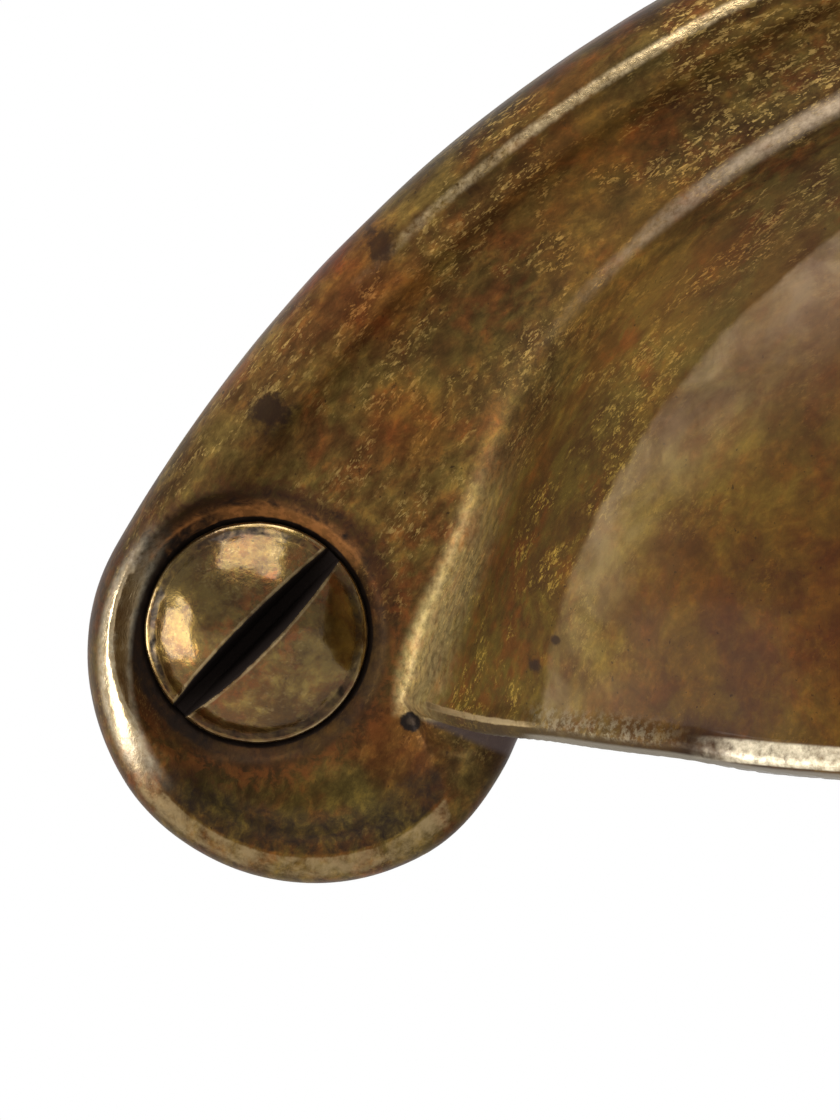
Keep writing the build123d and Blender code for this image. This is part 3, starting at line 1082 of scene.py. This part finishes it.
def screwBrassMaterial():
    material, tree, shader, place = newMaterial("screwBrass")
    y = split(tree, place)[1]
    rimGap, slotGap = attribute(tree, "headGap"), attribute(tree, "slotGap")
    base = useGroup(tree, patina, Place=place, Along=place, **screwFinish["patina"])
    slotDirt = step(slotGap, 0.16, -0.02) * step(y, -1.5, -2.2)
    rimDirt = bandOf(rimGap, *screwBands["rimDirt"])
    rimDirt = most(rimDirt, bandOf(rimGap, *screwBands["ringDirt"]) * 0.75)
    dirty = useGroup(tree, grimeAndShade, Place=place, Colour=base.outputs["Colour"],
                     Depth=most(slotDirt * 1.5, rimDirt * 0.7),
                     Fringe=bandOf(slotGap, *screwBands["slotFringe"]) * 0.5,
                     Roughness=screwFinish["roughness"], **{"Dirt and shade colour": screwFinish["dirt"]})
    # the slot's edges and the head's brim are rubbed pale, which also paints their thin highlight
    # lines
    edge = bandOf(slotGap, *screwBands["slotEdge"]) * 0.7
    brim = bandOf(rimGap, *screwBands["brim"]) * 0.6
    wornAndSheen = useGroup(tree, rubbedAndSheen, Place=place, Colour=dirty.outputs["Colour"],
                    Rub=most(edge, brim) * (1 - slotDirt), Roughness=dirty.outputs["Roughness"])
    dirt = term(tree, dirty.outputs["Mask"])
    plugAll(tree, shader, {
        "Base Color": wornAndSheen.outputs["Colour"],
        "Metallic": screwFinish["metallic"] + term(tree, wornAndSheen.outputs["Mask"]) * 0.08,
        "Roughness": term(tree, wornAndSheen.outputs["Roughness"]) + dirt * 0.45,
        "Coat Weight": screwFinish["coatWeight"] * (1 - dirt),
        "Coat Roughness": screwFinish["coatRoughness"],
    })
    addRelief(tree, shader, base.outputs["Height"], screwFinish)
    return material


bodyBrass = agedBrass()
screwBrass = screwBrassMaterial()
print("finishes mixed")

pullRule = pullDistanceGroup()
pullTree = castTree(
    "castPull", pullRule, pullSizes, gridPlace,
    {"low": (-1, 0, -1), "high": (1, 1, 1),
     "count": (castSizes["cellsAcross"], castSizes["cellsDeep"], castSizes["cellsUp"])},
    castSizes, ("edgeInset", "cupGap", "screwGap"), bodyBrass,
)
pull = castPiece("castPull", pullTree, pullSizes, bodyBrass)
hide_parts("pull_body")
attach(pull, "root")
print("pull cast")

screwRule = screwDistanceGroup()
for name, node, centreX, slotTurn, seed in (
    ("leftScrew", "left_screw", -pullSizes["screwX"], 46.0, 1.0),
    ("rightScrew", "right_screw", pullSizes["screwX"], 108.0, 7.0),
):
    values = dict(screwSizes, centreX=centreX, slotTurn=slotTurn)
    screwTree = castTree(
        name + "Cast", screwRule, values, screwPlace(centreX),
        {"low": (-1, 0, -1), "high": (1, 1, 1),
         "count": (screwGrid["cellsAcross"], screwGrid["cellsDeep"], screwGrid["cellsAcross"])},
        dict(screwGrid, seed=seed), ("headGap", "slotGap"), screwBrass,
    )
    screw = castPiece(name, screwTree, values, screwBrass)
    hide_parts(node)
    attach(screw, "root")
print("screws cast")


# floor, light and camera, in metres and degrees
studio = {
    "floorZ": -0.150,
    "floorHalf": 3.0,
    "floorColour": (0.86, 0.86, 0.85, 1),
    "shadowReach": (0.045, 0.085),
    "worldColour": (1, 1, 1, 1),
    "worldStrength": 0.55,
    "roomTurn": (-0.6, 0.6),
    "leftLight": {"from": (-0.347, -0.153, -0.036), "size": (0.165, 0.215), "luminance": 8.0},
    "topLight": {"from": (-0.09, -0.29, 0.42), "size": (0.40, 0.26), "luminance": 5.5},
}
view = {
    "aim": (-0.03274, 0.0, 0.0022),
    "distance": 0.5,
    "elevation": 8.0,
    "azimuth": 3.78,
    "fieldHeight": 0.03763,
    "sensor": 36.0,
    "clipStart": 0.01,
}


def rayIs(tree, kind):
    path = tree.nodes.new("ShaderNodeLightPath")
    return term(tree, path.outputs["Is " + kind + " Ray"])


def makeFloor():
    half = studio["floorHalf"]
    mesh = bpy.data.meshes.new("floor")
    mesh.from_pydata(
        [(-half, -half, studio["floorZ"]), (half, -half, studio["floorZ"]),
         (half, half, studio["floorZ"]), (-half, half, studio["floorZ"])],
        [], [(0, 1, 2, 3)],
    )
    floor = bpy.data.objects.new("floor", mesh)
    bpy.context.scene.collection.objects.link(floor)
    material = bpy.data.materials.new("paleFloor")
    material.use_nodes = True
    tree = material.node_tree
    tree.nodes.clear()
    paint = addNode(tree, "ShaderNodeBsdfDiffuse", {"Color": studio["floorColour"]})
    glow = addNode(tree, "ShaderNodeEmission", {"Strength": 1.0})
    x, y = split(tree, tree.nodes.new("ShaderNodeTexCoord").outputs["Object"])[:2]
    away = step(size2(x, y), *studio["shadowReach"])
    seen = most(rayIs(tree, "Camera"), rayIs(tree, "Glossy"))
    seen = most(seen, rayIs(tree, "Transmission"))
    mixed = {0: away * seen, 1: paint.outputs[0], 2: glow.outputs[0]}
    mix = addNode(tree, "ShaderNodeMixShader", mixed)
    addNode(tree, "ShaderNodeOutputMaterial", {"Surface": mix.outputs[0]})
    mesh.materials.append(material)


def makeWorld():
    world = bpy.data.worlds.new("studio")
    bpy.context.scene.world = world
    world.use_nodes = True
    tree = world.node_tree
    tree.nodes.clear()
    # metal shows the white background that stands behind the pull, and the dimmer room in front
    towards = split(tree, tree.nodes.new("ShaderNodeTexCoord").outputs["Generated"])[1]
    behind = step(towards, *studio["roomTurn"]) * rayIs(tree, "Glossy")
    seen = most(most(rayIs(tree, "Camera"), rayIs(tree, "Transmission")), behind)
    dim = studio["worldStrength"]
    sky = addNode(tree, "ShaderNodeBackground",
                  {"Color": studio["worldColour"], "Strength": dim + seen * (1 - dim)})
    addNode(tree, "ShaderNodeOutputWorld", {"Surface": sky.outputs[0]})


def makeLight(name, spec):
    data = bpy.data.lights.new(name, "AREA")
    data.shape = "RECTANGLE"
    data.size, data.size_y = spec["size"]
    data.energy = spec["luminance"] * math.pi * data.size * data.size_y
    light = bpy.data.objects.new(name, data)
    bpy.context.scene.collection.objects.link(light)
    target = Vector(view["aim"])
    light.location = Vector(spec["from"])
    light.rotation_euler = (target - light.location).to_track_quat("-Z", "Y").to_euler()
    light.visible_camera = False


def makeCamera():
    elevation, azimuth = math.radians(view["elevation"]), math.radians(view["azimuth"])
    forward = Vector((
        -math.sin(azimuth) * math.cos(elevation),
        math.cos(azimuth) * math.cos(elevation),
        -math.sin(elevation),
    ))
    data = bpy.data.cameras.new("camera")
    data.sensor_width = view["sensor"]
    data.lens = view["sensor"] * view["distance"] / view["fieldHeight"]
    data.clip_start = view["clipStart"]
    camera = bpy.data.objects.new("camera", data)
    bpy.context.scene.collection.objects.link(camera)
    camera.location = Vector(view["aim"]) - forward * view["distance"]
    camera.rotation_euler = forward.to_track_quat("-Z", "Y").to_euler()
    bpy.context.scene.camera = camera


makeFloor()
makeWorld()
makeLight("leftSoftbox", studio["leftLight"])
makeLight("topSoftbox", studio["topLight"])
makeCamera()
bpy.context.scene.view_settings.view_transform = "Standard"
print("studio set")
